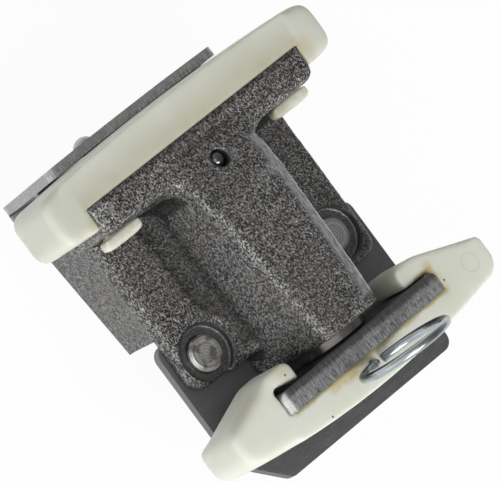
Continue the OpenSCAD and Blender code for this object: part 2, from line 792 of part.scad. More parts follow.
module stop_ring() {
    color([0.6, 0.6, 0.6]) translate([0, stop_y, axis_z]) rotate([-90, 0, 0])
        rotate_extrude(angle = 360 - stop_open) translate([plunger_r, 0]) circle(r = stop_r, $fn = 24);
}

module lock_pin() {
    free_end = asin((pin_offset + pin_r + ring_gap) / ring_r) - 90;
    color([0.78, 0.80, 0.82]) {
        rod_z(pin_r, pin_tip, bend_z, leg_x, pin_y);
        translate([leg_x, pin_y, bend_z]) rotate([ring_lean, 0, 0]) {
            sphere(r = pin_r + pin_fit);
            translate([-pin_bend_r, 0, 0]) rotate([0, -bend_sweep, 0]) translate([pin_bend_r, 0, 0])
                sphere(r = pin_r + pin_fit);
            translate([-pin_bend_r, 0, 0]) rotate([90, 0, 0]) rotate_extrude(angle = bend_sweep)
                translate([pin_bend_r, 0]) circle(r = pin_r);
            translate([-pin_offset, 0, ring_z - bend_z]) rotate([90, 0, 0]) rotate([0, 0, free_end])
                rotate_extrude(angle = 180 + bend_sweep - free_end) translate([ring_r, 0]) circle(r = pin_r);
        }
    }
}

housing();
fixed_shoe();
back_plate();
left_plate_rivet();
right_plate_rivet();
cover_plate();
spacer_plate();
cover_rivet();
gallery_ball_plug();
plunger();
plunger_head();
moving_shoe();
plunger_spring();
check_valve_seat();
check_ball();
check_ball_spring();
check_valve_cage();
stop_ring();
lock_pin();
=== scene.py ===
"""Timing chain tensioner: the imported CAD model, dressed for a picture from the photograph's angle."""

import json
import math

import bmesh
import bpy
import numpy as np
from mathutils import Matrix, Vector, noise


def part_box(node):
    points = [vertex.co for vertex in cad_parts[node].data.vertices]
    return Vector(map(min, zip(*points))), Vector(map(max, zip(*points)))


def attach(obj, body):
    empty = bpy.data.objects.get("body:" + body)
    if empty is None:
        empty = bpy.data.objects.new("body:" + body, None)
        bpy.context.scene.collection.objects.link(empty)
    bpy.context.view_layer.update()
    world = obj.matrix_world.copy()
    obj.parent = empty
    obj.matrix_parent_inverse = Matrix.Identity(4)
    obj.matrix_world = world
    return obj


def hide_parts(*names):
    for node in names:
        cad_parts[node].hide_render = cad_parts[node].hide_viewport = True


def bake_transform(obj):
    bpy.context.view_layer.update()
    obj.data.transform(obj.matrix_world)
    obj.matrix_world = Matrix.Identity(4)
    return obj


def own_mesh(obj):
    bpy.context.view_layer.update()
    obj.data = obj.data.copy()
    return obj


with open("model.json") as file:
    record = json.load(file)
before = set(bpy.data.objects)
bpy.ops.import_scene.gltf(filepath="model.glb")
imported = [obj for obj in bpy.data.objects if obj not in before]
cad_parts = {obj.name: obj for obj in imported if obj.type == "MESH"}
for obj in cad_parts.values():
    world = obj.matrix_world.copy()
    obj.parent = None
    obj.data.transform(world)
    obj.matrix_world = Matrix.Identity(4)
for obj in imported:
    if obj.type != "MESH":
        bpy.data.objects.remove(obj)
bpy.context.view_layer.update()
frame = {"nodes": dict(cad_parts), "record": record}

NODES = frame["nodes"]
RECORD = frame["record"]
BODY_OF = {node: body for body, nodes in RECORD["behaviour"]["bodies"].items() for node in nodes}
MM = 0.001
UP = Vector((0, 0, 1))

# Photograph: its width in pixels and the camera found from the part's edges
PHOTO_WIDTH = 500
FOCAL_PIXELS = 6500
SENSOR_WIDTH = 36
CAMERA_AZIMUTH = math.radians(-97.44)
CAMERA_ELEVATION = math.radians(58.82)
CAMERA_ROLL = math.radians(59.86)
CAMERA_DISTANCE = 1362.3 * MM
CAMERA_TARGET = Vector((-2.11, -14.43, 35.0)) * MM

# Casting skin
SKIN_CELL = 0.46 * MM
SKIN_SMOOTHING = 9
BROAD_ROUNDS = 60
SKIN_GRAIN = 1.0 * MM
SKIN_RELIEF = 0.15 * MM
GRAIN_SEED = 1
CORNER_SMOOTHING = 40
CORNER_REACH = 4.5 * MM
SPOT_FACE_RADIUS = 6.3 * MM
GALLERY_RADIUS = 2.1 * MM

# Mouldings
NYLON_CELL = 0.42 * MM
NYLON_SMOOTHING = 5
PRONG_SMOOTHING = 30
HOOK_SMOOTHING = 18
END_SMOOTHING = 60
PIN_HOLE_KEPT = 1.8 * MM

# Edges and tool marks
PLATE_EDGE = 0.35 * MM
SHEAR_STRIP = 0.3 * MM
SHEAR_ROW = 0.5 * MM
SHEAR_RELIEF = 0.08 * MM
DIE_ROLL = 0.8 * MM
DIE_ROLL_DROP = 0.25 * MM
END_ROLL = 1.2 * MM
END_ROLL_DROP = 0.8 * MM


def middle(node):
    """The middle of a CAD node's box."""
    low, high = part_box(node)
    return (low + high) / 2


def size(node):
    """The lengths of a CAD node's box."""
    low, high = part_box(node)
    return high - low


def ease(value, low, high):
    """0 at low, 1 at high and smooth between them, for numbers and arrays."""
    t = np.clip((value - low) / (high - low), 0, 1)
    return t * t * (3 - 2 * t)


# Places on the part, from the frame where it gives them
SHOE_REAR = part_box("fixed_shoe")[0].z
MOVING_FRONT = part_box("moving_shoe")[1].z
BAR_LOW, BAR_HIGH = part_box("plunger_head")
PLATE_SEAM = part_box("cover_plate")[0].y
BOSS_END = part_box("housing")[0].y
FLANGE_HALF = size("housing").x / 2
FLANGE_TOP = 12.1 * MM
FLANGE_UNDER = 4.6 * MM
BOSS_CORNER = Vector((12, 4.6, 40)) * MM
PIN_X = -0.5 * MM

# Marks on the surfaces: their colours
AMBER = (0.55, 0.44, 0.18, 1)
OLIVE = (0.46, 0.45, 0.29, 1)
BROWN = (0.44, 0.36, 0.25, 1)
RUST = (0.16, 0.09, 0.05, 1)
PIT = (0.12, 0.09, 0.05, 1)

# Marks on the surfaces: their places, in millimetres
SCRAPED_CORNER = (-30, 9.5, 40.5)
# HOOK_SHADE is the middle of the painted shade on the moving shoe's hook.
HOOK_SHADE = (-18.5, -38.5)
PITS = ((-19.4, -40.1), (-16.1, -53.2), (25.8, -46.0))
MOULD_MARK = (33.7, -46.6)

# Stains by the flange's ends: each one's place and reach in millimetres, and its strength
FLANGE_END_STAINS = (((33.6, 11.4, 40.5), 3.6, 0.4), ((-33.0, 9.0, 40.5), 2.4, 0.3))

# Stains by the cross bar's right end: each one's height from its top and reach, in millimetres
BAR_END_STAINS = ((1.2, 2.2), (-1.6, 2.4), (-5.0, 2.0))

# Floor
FLOOR_REACH = 4.0
FLOOR_DROP = 0.05 * MM


class Shader:
    """A material, with short ways to add nodes to it."""

    def __init__(self, name, **surface):
        self.material = bpy.data.materials.new(name)
        self.material.use_nodes = True
        self.tree = self.material.node_tree
        self.surface = self.tree.nodes["Principled BSDF"]
        self.place = self.add("ShaderNodeTexCoord").outputs["Object"]
        axes = self.add("ShaderNodeSeparateXYZ", {"Vector": self.place}).outputs
        self.x = axes["X"]
        self.y = axes["Y"]
        self.z = axes["Z"]
        for key, value in surface.items():
            self.put(self.surface.inputs[key.replace("_", " ")], value)

    def put(self, socket, value):
        """Links a socket or sets its value."""
        if isinstance(value, bpy.types.NodeSocket):
            self.tree.links.new(value, socket)
        else:
            socket.default_value = value

    def add(self, kind, inputs=None, **settings):
        """A new node with its settings and inputs."""
        node = self.tree.nodes.new(kind)
        for key, value in settings.items():
            setattr(node, key, value)
        for key, value in (inputs or {}).items():
            self.put(node.inputs[key], value)
        return node

    def math(self, operation, a, b=0.0):
        """A Math node's result."""
        return self.add("ShaderNodeMath", {0: a, 1: b}, operation=operation).outputs[0]

    def times(self, *values):
        """The product of all values."""
        product = values[0]
        for value in values[1:]:
            product = self.math("MULTIPLY", product, value)
        return product

    def step(self, value, low, high):
        """0 at low and 1 at high, smooth between them; low may be the larger."""
        sockets = {"Value": value, "From Min": low, "From Max": high}
        return self.add("ShaderNodeMapRange", sockets, interpolation_type="SMOOTHSTEP").outputs["Result"]

    def span(self, value, low, high):
        """value from 0 to 1, spread from low to high."""
        sockets = {"Value": value, "To Min": low, "To Max": high}
        return self.add("ShaderNodeMapRange", sockets).outputs["Result"]

    def near(self, value, centre, reach):
        """1 where value is centre, falling to 0 at reach from it."""
        return self.step(self.math("ABSOLUTE", self.math("SUBTRACT", value, centre)), reach, 0.0)

    def between(self, value, low, high, soft):
        """1 between low and high, with soft ends."""
        return self.times(self.step(value, low - soft, low), self.step(value, high + soft, high))

    def around(self, point, reach, core=0.0):
        """1 within core of a point, falling to 0 at reach from it."""
        away = self.add("ShaderNodeVectorMath", {0: self.place, 1: point}, operation="DISTANCE")
        return self.step(away.outputs["Value"], reach, core)

    def stretched(self, x, y, z):
        """The place, scaled along each axis."""
        scaled = self.add("ShaderNodeVectorMath", {0: self.place, 1: (x, y, z)}, operation="MULTIPLY")
        return scaled.outputs[0]

    def noise(self, wavelength, detail=2.0, vector=None, roughness=0.5, distortion=0.0):
        """Noise from 0 to 1 with about this distance between its waves."""
        sockets = {
            "Vector": vector or self.place,
            "Scale": 1 / wavelength,
            "Detail": detail,
            "Roughness": roughness,
            "Distortion": distortion,
        }
        return self.add("ShaderNodeTexNoise", sockets).outputs["Fac"]

    def mix(self, factor, a, b):
        """Colour a where factor is 0 and colour b where it is 1."""
        sockets = {"Factor": factor, "A": a, "B": b}
        node = self.add("ShaderNodeMix", None, data_type="RGBA")
        for socket in node.inputs:
            if socket.name in sockets and socket.enabled:
                self.put(socket, sockets[socket.name])
        return next(socket for socket in node.outputs if socket.enabled)

    def attribute(self, name):
        """A value that the mesh holds for each vertex."""
        return self.add("ShaderNodeAttribute", attribute_name=name).outputs["Fac"]

    def bump(self, height, distance):
        """A normal that follows small heights."""
        return self.add("ShaderNodeBump", {"Height": height, "Distance": distance}).outputs["Normal"]

    def finish(self, colour, roughness, normal=None):
        """Joins the surface up and gives the material."""
        self.put(self.surface.inputs["Base Color"], colour)
        self.put(self.surface.inputs["Roughness"], roughness)
        if normal:
            self.put(self.surface.inputs["Normal"], normal)
        return self.material


def grey(level, warm=0.0):
    """A grey, made warmer or cooler by a share."""
    return (level * (1 + warm), level, level * (1 - warm), 1.0)


# Materials

def cast_iron():
    """Sand-cast skin: dark pores, lighter grain tops, plain machined faces, painted shade in the hollows
    and on the right ear, and a smooth right edge with a painted highlight along it.
    """
    s = Shader("cast_iron", Metallic=0.85)
    machined = s.attribute("machined")
    edge = s.attribute("edge")
    rough = s.attribute("rough")
    broad = s.attribute("broad")
    fine = s.noise(0.32 * MM, 2.0, s.stretched(1, 0.65, 1), 0.55, 0.15)
    coarse = s.noise(0.9 * MM, 2.0)
    tint = s.noise(1.6 * MM, 2.0)
    patch = s.noise(11 * MM, 2.0)
    grain = s.math("ADD", s.times(fine, 0.75), s.times(coarse, 0.25))
    smooth_tops = s.mix(s.step(s.z, 24 * MM, 30 * MM), grey(0.36), grey(0.52))
    tops = s.mix(rough, smooth_tops, grey(0.5, 0.02))
    colour = s.mix(s.step(grain, 0.42, 0.66), grey(0.04, 0.05), tops)
    colour = s.mix(s.times(s.step(patch, 0.35, 0.7), 0.25), colour, grey(0.13, 0.07))
    colour = s.mix(s.times(s.step(tint, 0.55, 0.75), 0.3), colour, grey(0.18, 0.2))
    # Painted shade: the hollows, where broad is above zero, darkened towards near black.
    colour = s.mix(s.times(s.step(broad, 0.01, 0.16), 0.75), colour, grey(0.02, 0.03))
    # Painted shade: the right ear, beside the boss, darkened.
    right_ear_shade = s.times(s.step(s.x, 9 * MM, 14 * MM), s.step(s.y, FLANGE_UNDER, FLANGE_UNDER - 2 * MM))
    colour = s.mix(s.times(right_ear_shade, 0.35), colour, grey(0.06, 0.03))
    scratches = s.noise(0.4 * MM, 2.0, s.stretched(1, 0.2, 1))
    on_right = s.times(s.step(s.x, 2 * MM, 5 * MM), s.step(s.z, 28 * MM, 36 * MM),
                       s.between(s.y, BOSS_END + 4 * MM, FLANGE_UNDER - 2.5 * MM, 2.5 * MM))
    # Painted highlight: a light band along the boss's rounded right edge, broken up by scratch marks.
    ridge = s.times(s.step(broad, -0.03, -0.18), on_right)
    scratched_ridge_highlight = s.times(ridge, s.span(s.step(scratches, 0.65, 0.4), 0.5, 1.0))
    colour = s.mix(scratched_ridge_highlight, colour, grey(0.66, -0.04))
    on_left = s.times(s.step(s.x, 0.0, -2 * MM), s.step(s.z, 40 * MM, 42 * MM))
    burr = s.times(s.step(edge, 0.2, 0.7), on_left, s.step(fine, 0.5, 0.68), s.step(tint, 0.4, 0.6))
    scraped = s.times(s.around(Vector(SCRAPED_CORNER) * MM, 4.2 * MM, 1.5 * MM), s.step(grain, 0.4, 0.62))
    colour = s.mix(s.math("MAXIMUM", s.times(burr, 0.25), s.times(scraped, 0.8)), colour, grey(0.62))
    bare = s.mix(s.step(s.noise(0.5 * MM, 3.0), 0.35, 0.7), grey(0.14), grey(0.24))
    colour = s.mix(machined, colour, bare)
    skin = s.times(rough, s.span(ridge, 1.0, 0.3))
    return s.finish(colour, s.span(machined, 0.4, 0.38), s.bump(s.times(grain, skin), 0.6 * MM))


def nylon(name, level):
    """A translucent ivory shader and its unstained colour."""
    s = Shader(name, Subsurface_Weight=0.55, Subsurface_Radius=(1.0, 0.95, 0.8), Subsurface_Scale=3 * MM)
    s.put(s.surface.inputs["Specular IOR Level"], 0.35)
    cloud = s.noise(14 * MM, 3.0)
    dull = (0.64 * level, 0.65 * level, 0.555 * level, 1)
    clean = (0.69 * level, 0.7 * level, 0.63 * level, 1)
    colour = s.mix(s.step(cloud, 0.3, 0.7), dull, clean)
    return s, colour


def nylon_surface(s, colour):
    """A nylon material with the faint unevenness of a moulding."""
    skin = s.noise(1.8 * MM, 4.0)
    return s.finish(colour, s.span(skin, 0.36, 0.5), s.bump(skin, 0.04 * MM))


def fixed_nylon():
    """Ivory nylon, darker olive along the casting's flange, stained on the staked prongs, with painted
    shade on the right prong.
    """
    s, colour = nylon("fixed_shoe_nylon", 1.02)
    streak = s.noise(5 * MM, 3.0)
    along = s.between(s.x, -FLANGE_HALF, FLANGE_HALF, 1.5 * MM)
    # Darker olive, in streaks, near the flange's top edge, and a thin olive line along the joint.
    olive_by_flange = s.times(s.near(s.y, FLANGE_TOP, 8 * MM), along, s.span(streak, 0.25, 0.8))
    colour = s.mix(olive_by_flange, colour, OLIVE)
    colour = s.mix(s.times(s.near(s.y, FLANGE_TOP, 0.6 * MM), along, 0.5), colour, OLIVE)
    for place, reach, share in FLANGE_END_STAINS:
        colour = s.mix(s.times(s.around(Vector(place) * MM, reach * MM), share), colour, AMBER)
    staked = s.step(s.y, FLANGE_UNDER, FLANGE_UNDER - 0.4 * MM)
    colour = s.mix(s.times(staked, s.step(s.noise(1.6 * MM, 3.0), 0.4, 0.65), 0.28), colour, AMBER)
    # Painted shade: the inner part of the right prong darkened olive.
    right = s.times(staked, s.step(s.x, 27 * MM, 21 * MM), s.step(s.x, 0.0, 1 * MM))
    colour = s.mix(s.times(right, 0.7), colour, OLIVE)
    return nylon_surface(s, colour)


def on_face(place):
    """A place in millimetres on the moving shoe's front face."""
    return Vector((place[0] * MM, place[1] * MM, MOVING_FRONT))


def moving_nylon():
    """Ivory nylon, stained amber round the cross bar, with painted brown shade on its left shoulder and
    painted olive shade round the hook.
    """
    s, colour = nylon("moving_shoe_nylon", 1.1)
    front = MOVING_FRONT
    on_front = s.step(s.z, front - 1.2 * MM, front - 0.4 * MM)
    blotch = s.noise(3 * MM, 3.0)
    along = s.between(s.x, BAR_LOW.x + 2 * MM, BAR_HIGH.x, 2 * MM)
    edge_line = s.math("ADD", BAR_LOW.y - 2.0 * MM, s.times(blotch, 1.6 * MM))
    line = s.times(s.step(s.math("SUBTRACT", s.y, edge_line), 0.0, 0.7 * MM), along, on_front)
    below = s.step(s.y, BAR_LOW.y + 0.6 * MM, BAR_LOW.y + 0.2 * MM)
    colour = s.mix(s.times(line, below, 0.75), colour, AMBER)
    jog = s.times(s.between(s.x, -11 * MM, -4 * MM, 3 * MM), on_front,
                  s.between(s.y, BAR_LOW.y - 1.6 * MM, BAR_LOW.y, 1.6 * MM))
    colour = s.mix(s.times(jog, s.step(blotch, 0.3, 0.7), 0.8), colour, AMBER)
    round_end = s.times(s.between(s.x, BAR_HIGH.x - 4 * MM, BAR_HIGH.x + 0.7 * MM, 0.6 * MM), on_front,
                        s.between(s.y, BAR_LOW.y, BAR_HIGH.y + 0.7 * MM, 0.6 * MM))
    colour = s.mix(s.times(round_end, s.span(blotch, 0.3, 0.9)), colour, AMBER)
    for height, reach in BAR_END_STAINS:
        place = Vector((BAR_HIGH.x + 0.5 * MM, BAR_HIGH.y + height * MM, front))
        colour = s.mix(s.times(s.around(place, reach * MM), s.span(blotch, 0.1, 0.8)), colour, AMBER)
    # Painted shade: brown in the valley on the left shoulder.
    valley = s.near(s.math("ADD", s.y, s.times(s.x, -0.27)), -32.3 * MM, 2.6 * MM)
    shoulder = s.times(valley, s.between(s.x, -36 * MM, -26 * MM, 2 * MM),
                       s.step(s.z, front - 6 * MM, front - 2 * MM))
    colour = s.mix(s.times(shoulder, s.span(blotch, 0.05, 0.4)), colour, BROWN)
    # Painted shade: olive round the hook's inner curve.
    hook = s.around(on_face(HOOK_SHADE), 5 * MM, 1 * MM)
    colour = s.mix(s.times(hook, 0.45), colour, OLIVE)
    for pit in PITS:
        colour = s.mix(s.around(on_face(pit), 0.4 * MM, 0.1 * MM), colour, PIT)
    rim = s.near(s.around(on_face(MOULD_MARK), 4.2 * MM), 0.5, 0.12)
    colour = s.mix(s.times(rim, 0.25), colour, OLIVE)
    return nylon_surface(s, colour)


def dark_plate():
    """Dark rolled steel, with painted light towards the ears."""
    s = Shader("dark_plate", Metallic=0.65)
    rolled = s.noise(0.9 * MM, 3.0, s.stretched(0.25, 1, 1))
    speck = s.noise(0.4 * MM, 2.0)
    cloud = s.noise(13 * MM, 2.0)
    colour = s.mix(s.step(rolled, 0.3, 0.7), grey(0.13, -0.01), grey(0.165, -0.01))
    colour = s.mix(s.times(s.step(speck, 0.5, 0.7), 0.5), colour, grey(0.26, -0.01))
    colour = s.mix(s.times(s.step(cloud, 0.4, 0.7), 0.35), colour, grey(0.12, -0.03))
    # Painted light: the plate made lighter towards the ears.
    painted_light_by_ears = s.step(s.y, -50 * MM, -38 * MM)
    colour = s.mix(s.times(painted_light_by_ears, s.span(rolled, 0.6, 0.9)), colour, grey(0.25, -0.02))
    return s.finish(colour, s.span(speck, 0.42, 0.56), s.bump(speck, 0.03 * MM))


def sheared_steel(node, low, high, flat_level, shadow_seam=None, burnished=None):
    """Stamped steel: cross marks on its cut edges, a painted shadow along the cover plate's lower edge, a
    zone burnished by the punch and a painted highlight on its left end.
    """
    s = Shader(node + "_sheared", Metallic=0.75)
    lowest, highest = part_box(node)
    cut = s.math("MAXIMUM", s.step(s.z, highest.z - 2.4 * MM, highest.z - 1.4 * MM),
                 s.step(s.z, lowest.z + 1.6 * MM, lowest.z + 0.8 * MM))
    cloud = s.noise(5 * MM, 2.0)
    speck = s.noise(0.35 * MM, 3.0)
    row = s.math("FLOOR", s.times(s.math("ADD", s.y, s.times(cloud, 1.8 * MM)), 1 / (1.4 * MM)))
    across = {
        "X": s.math("ADD", s.x, s.times(s.z, 0.6)),
        "Y": s.times(row, 3.7 * MM),
        "Z": s.times(s.y, 0.08),
    }
    marks = s.noise(0.2 * MM, 3.0, s.add("ShaderNodeCombineXYZ", across).outputs[0], 0.65)
    tone = s.math("ADD", s.times(marks, 0.85), s.times(speck, 0.15))
    rolled = s.noise(0.5 * MM, 3.0, s.stretched(0.1, 1, 1))
    flat = s.mix(s.step(rolled, 0.3, 0.7), grey(flat_level * 0.85), grey(flat_level * 1.15))
    colour = s.mix(cut, flat, s.mix(s.step(tone, 0.38, 0.6), grey(low), grey(high)))
    colour = s.mix(s.times(s.step(cloud, 0.45, 0.75), 0.4), colour, grey(low, 0.03))
    roughness = 0.42
    # Painted shadow: a near-black line in the gap along the cover plate's lower edge.
    if shadow_seam:
        colour = s.mix(s.near(s.y, shadow_seam, 0.45 * MM), colour, grey(0.015))
    if burnished:
        smooth = s.step(s.math("ADD", s.y, s.times(cloud, 1.2 * MM)), *burnished)
        colour = s.mix(s.times(smooth, 0.85), colour, grey(low * 0.8))
        # Painted highlight: the left end made near white.
        end = s.step(s.x, lowest.x + 2.2 * MM, lowest.x + 0.6 * MM)
        colour = s.mix(s.times(end, s.span(speck, 0.3, 0.9)), colour, grey(0.9))
        roughness = s.span(smooth, 0.45, 0.3)
    return s.finish(colour, roughness, s.bump(s.times(tone, cut), 0.12 * MM))


def turned_face(node, level, rust=0.0):
    """The end of a turned pin, with rings round its own axis."""
    s = Shader(node + "_steel", Metallic=0.85)
    centre = middle(node)
    flat = s.add("ShaderNodeCombineXYZ", {"X": s.x, "Y": s.y, "Z": 0.0}).outputs[0]
    axis = (centre.x, centre.y, 0)
    away = s.add("ShaderNodeVectorMath", {0: flat, 1: axis}, operation="DISTANCE").outputs["Value"]
    ring_place = s.add("ShaderNodeCombineXYZ", {"X": away, "Y": 0.0, "Z": 0.0}).outputs[0]
    rings = s.noise(0.3 * MM, 2.0, ring_place)
    blotch = s.noise(2.4 * MM, 3.0)
    colour = s.mix(s.step(rings, 0.4, 0.6), grey(level * 0.68), grey(level * 1.3))
    colour = s.mix(s.times(s.step(blotch, 0.48, 0.62), rust), colour, RUST)
    return s.finish(colour, s.span(rings, 0.28, 0.4), s.bump(rings, 0.05 * MM))


def turned_bar(name, level, warm=0.0):
    """A turned bar along Y, with fine rings along it."""
    s = Shader(name, Metallic=0.9)
    rings = s.noise(0.16 * MM, 2.0, s.stretched(0.02, 1, 0.02))
    cloud = s.noise(4 * MM, 2.0)
    colour = s.mix(s.step(cloud, 0.35, 0.7), grey(level * 0.75, warm), grey(level, warm / 2))
    return s.finish(colour, 0.26, s.bump(rings, 0.02 * MM))


def bright_ball():
    """A polished steel ball."""
    s = Shader("bright_ball", Metallic=1.0)
    cloud = s.noise(1.5 * MM, 2.0)
    colour = s.mix(s.step(cloud, 0.3, 0.7), grey(0.2), grey(0.28))
    return s.finish(colour, 0.12)


def zinc_wire():
    """Bright zinc-plated wire."""
    s = Shader("zinc_wire", Metallic=1.0)
    cloud = s.noise(3.5 * MM, 2.0)
    drawn = s.noise(0.2 * MM, 2.0)
    colour = s.mix(s.step(cloud, 0.3, 0.7), (0.36, 0.4, 0.41, 1), (0.46, 0.5, 0.51, 1))
    return s.finish(colour, s.span(cloud, 0.18, 0.26), s.bump(drawn, 0.006 * MM))


def spring_steel():
    """Oiled spring wire."""
    s = Shader("spring_steel", Metallic=1.0)
    drawn = s.noise(0.8 * MM, 3.0)
    colour = s.mix(s.step(drawn, 0.3, 0.7), grey(0.22), grey(0.34))
    return s.finish(colour, 0.35, s.bump(drawn, 0.02 * MM))


# Pieces

def stand_in(name, mesh, node, material):
    """A piece that stands for a CAD node and on no body yet."""
    piece = bpy.data.objects.new(name, mesh)
    bpy.context.scene.collection.objects.link(piece)
    mesh.materials.clear()
    mesh.materials.append(material)
    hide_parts(node)
    return piece


def add_piece(name, mesh, node, material):
    """A piece that stands for a CAD node and rides on its body."""
    piece = stand_in(name, mesh, node, material)
    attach(piece, BODY_OF[node])
    return piece


def cleaned(node):
    """A bmesh of a CAD node with its corners joined and its flat faces whole."""
    shape = bmesh.new()
    shape.from_mesh(NODES[node].data)
    bmesh.ops.remove_doubles(shape, verts=shape.verts[:], dist=0.002 * MM)
    bmesh.ops.dissolve_limit(
        shape, angle_limit=math.radians(0.4), verts=shape.verts[:], edges=shape.edges[:]
    )
    return shape


def to_mesh(shape, name, sharp_degrees=40):
    """A smooth mesh whose steeper edges stay sharp."""
    mesh = bpy.data.meshes.new(name)
    shape.to_mesh(mesh)
    shape.free()
    mesh.shade_smooth()
    mesh.set_sharp_from_angle(angle=math.radians(sharp_degrees))
    return mesh


def rounded_piece(name, node, material, width, degrees=28):
    """A copy of a CAD node with its sharp edges rounded."""
    piece = add_piece(name, to_mesh(cleaned(node), name), node, material)
    bevel = piece.modifiers.new("edge", "BEVEL")
    bevel.width = width
    bevel.segments = 4
    bevel.limit_method = "ANGLE"
    bevel.angle_limit = math.radians(degrees)
    bevel.harden_normals = True
    return piece


def remeshed(node, cell):
    """The node's surface as small even faces that keep its sharp edges."""
    source = bpy.data.objects.new("skin_source", to_mesh(cleaned(node), "skin_source"))
    bpy.context.scene.collection.objects.link(source)
    modifier = source.modifiers.new("cells", "REMESH")
    modifier.mode = "SHARP"
    modifier.octree_depth = 8
    modifier.scale = max(size(node)) / (cell * 2**8)
    modifier.sharpness = 1.0
    modifier.use_remove_disconnected = False
    bpy.context.view_layer.update()
    mesh = bpy.data.meshes.new_from_object(source.evaluated_get(bpy.context.evaluated_depsgraph_get()))
    bpy.data.objects.remove(source)
    return mesh


def vertex_places(mesh):
    """An array of the vertices' places."""
    places = np.empty(len(mesh.vertices) * 3)
    mesh.vertices.foreach_get("co", places)
    return places.reshape(-1, 3)


def edge_ends(mesh):
    """An array of the two vertices of each edge."""
    ends = np.empty(len(mesh.edges) * 2, int)
    mesh.edges.foreach_get("vertices", ends)
    return ends.reshape(-1, 2)


def smoothed(places, ends, free, rounds):
    """Moves each vertex towards its neighbours, by the share that it is free to move."""
    for _ in range(rounds):
        places = places + 0.5 * free[:, None] * (neighbour_mean(places, ends) - places)
    return places


def neighbour_mean(places, ends):
    """The middle of each vertex's neighbours."""
    start, stop = ends.T
    count = np.bincount(start, minlength=len(places)) + np.bincount(stop, minlength=len(places))
    columns = []
    for axis in range(3):
        total = np.bincount(start, places[stop, axis], len(places))
        columns.append((total + np.bincount(stop, places[start, axis], len(places))) / np.maximum(count, 1))
    return np.stack(columns, 1)


def spread(values, ends, rounds):
    """One value for each vertex, spread over its neighbours."""
    columns = np.repeat(values[:, None], 3, 1)
    return smoothed(columns, ends, np.ones(len(values)), rounds)[:, 0]


def machined_share(places):
    """1 where the casting is bored or faced, 0 on its rough skin."""
    x, y, z = places.T
    axis = middle("plunger")
    bore_radius = size("plunger").x / 2
    in_bore = 1 - ease(np.hypot(x - axis.x, z - axis.z), bore_radius + 0.1 * MM, bore_radius + 0.5 * MM)
    share = in_bore * (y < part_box("check_valve_seat")[1].y)
    for node, radius in (("left_plate_rivet", SPOT_FACE_RADIUS), ("right_plate_rivet", SPOT_FACE_RADIUS),
                         ("gallery_ball_plug", GALLERY_RADIUS)):
        centre = middle(node)
        away = np.hypot(x - centre.x, y - centre.y)
        share = np.maximum(share, 1 - ease(away, radius - 0.05 * MM, radius + 0.35 * MM))
    return np.maximum(share, 1 - ease(z, 0.1 * MM, 0.6 * MM))


def grain_height(place):
    """Relief of the sand-cast skin at one point, about -1 to 1."""
    point = Vector(place) / SKIN_GRAIN
    warp = noise.noise_vector(point / 3) * 0.6
    return noise.noise(point + warp) + 0.5 * noise.noise(2 * point + warp)


def housing_casting(material):
    """The casting with rounded edges and a rough skin, and its machined faces left true."""
    mesh = remeshed("housing", SKIN_CELL)
    places = vertex_places(mesh)
    ends = edge_ends(mesh)
    machined = machined_share(places)
    by_shoe = ease(places[:, 1], FLANGE_TOP - 0.9 * MM, FLANGE_TOP - 0.4 * MM) * (places[:, 2] > SHOE_REAR)
    free = 1 - np.maximum(machined, by_shoe)
    places = smoothed(places, ends, free, SKIN_SMOOTHING)
    on_one_side = np.column_stack((np.abs(places[:, 0]), places[:, 1:]))
    from_corner = np.linalg.norm(on_one_side - BOSS_CORNER, axis=1)
    by_corner = 1 - ease(from_corner, CORNER_REACH / 2, CORNER_REACH)
    places = smoothed(places, ends, free * by_corner, CORNER_SMOOTHING)
    mesh.vertices.foreach_set("co", places.ravel())
    mesh.update()
    normals = np.array([normal.vector for normal in mesh.vertex_normals])
    sag = np.sum((neighbour_mean(places, ends) - places) * normals, 1)
    bend = -4 * sag / SKIN_CELL**2 * MM
    edge = np.sign(bend) * ease(np.abs(bend), 0.1, 0.6) * (1 - machined)
    edge = spread(edge, ends, 5)
    noise.seed_set(GRAIN_SEED)
    relief = np.array([grain_height(place) for place in places])
    broad = np.sum((smoothed(places, ends, np.ones(len(places)), BROAD_ROUNDS) - places) * normals, 1) / MM
    calm = (1 - 0.6 * np.clip(edge, 0, 1)) * (1 - 0.6 * ease(-normals[:, 0], 0.4, 0.85))
    calm *= 1 - 0.4 * ease(broad, 0.03, 0.3)
    places += normals * (SKIN_RELIEF * free * calm * relief)[:, None]
    mesh.vertices.foreach_set("co", places.ravel())
    mesh.update()
    for name, values in (("machined", machined), ("edge", edge), ("broad", broad), ("rough", free * calm)):
        mesh.attributes.new(name, "FLOAT", "POINT").data.foreach_set("value", values)
    mesh.shade_smooth()
    return add_piece("housing_casting", mesh, "housing", material)


def moulded_piece(name, node, material, soft_places):
    """A moulding with soft edges; soft_places gives shares of extra rounding, with their rounds."""
    mesh = remeshed(node, NYLON_CELL)
    places = vertex_places(mesh)
    ends = edge_ends(mesh)
    pin = middle("lock_pin")
    in_hole = np.hypot(places[:, 0] - PIN_X, places[:, 1] - pin.y) < PIN_HOLE_KEPT
    free = 1.0 - in_hole
    softer = soft_places(places)
    places = smoothed(places, ends, free, NYLON_SMOOTHING)
    for share, rounds in softer:
        places = smoothed(places, ends, free * share, rounds)
    mesh.vertices.foreach_set("co", places.ravel())
    mesh.update()
    mesh.shade_smooth()
    return add_piece(name, mesh, node, material)


def cut_rows(shape, direction, low, high, step):
    """Cuts a shape's faces into rows, about step wide, between two places along a direction."""
    count = max(2, round((high - low) / step))
    for index in range(1, count):
        bmesh.ops.bisect_plane(
            shape, geom=shape.verts[:] + shape.edges[:] + shape.faces[:], dist=0.001 * MM,
            plane_co=direction * (low + (high - low) * index / count), plane_no=direction)


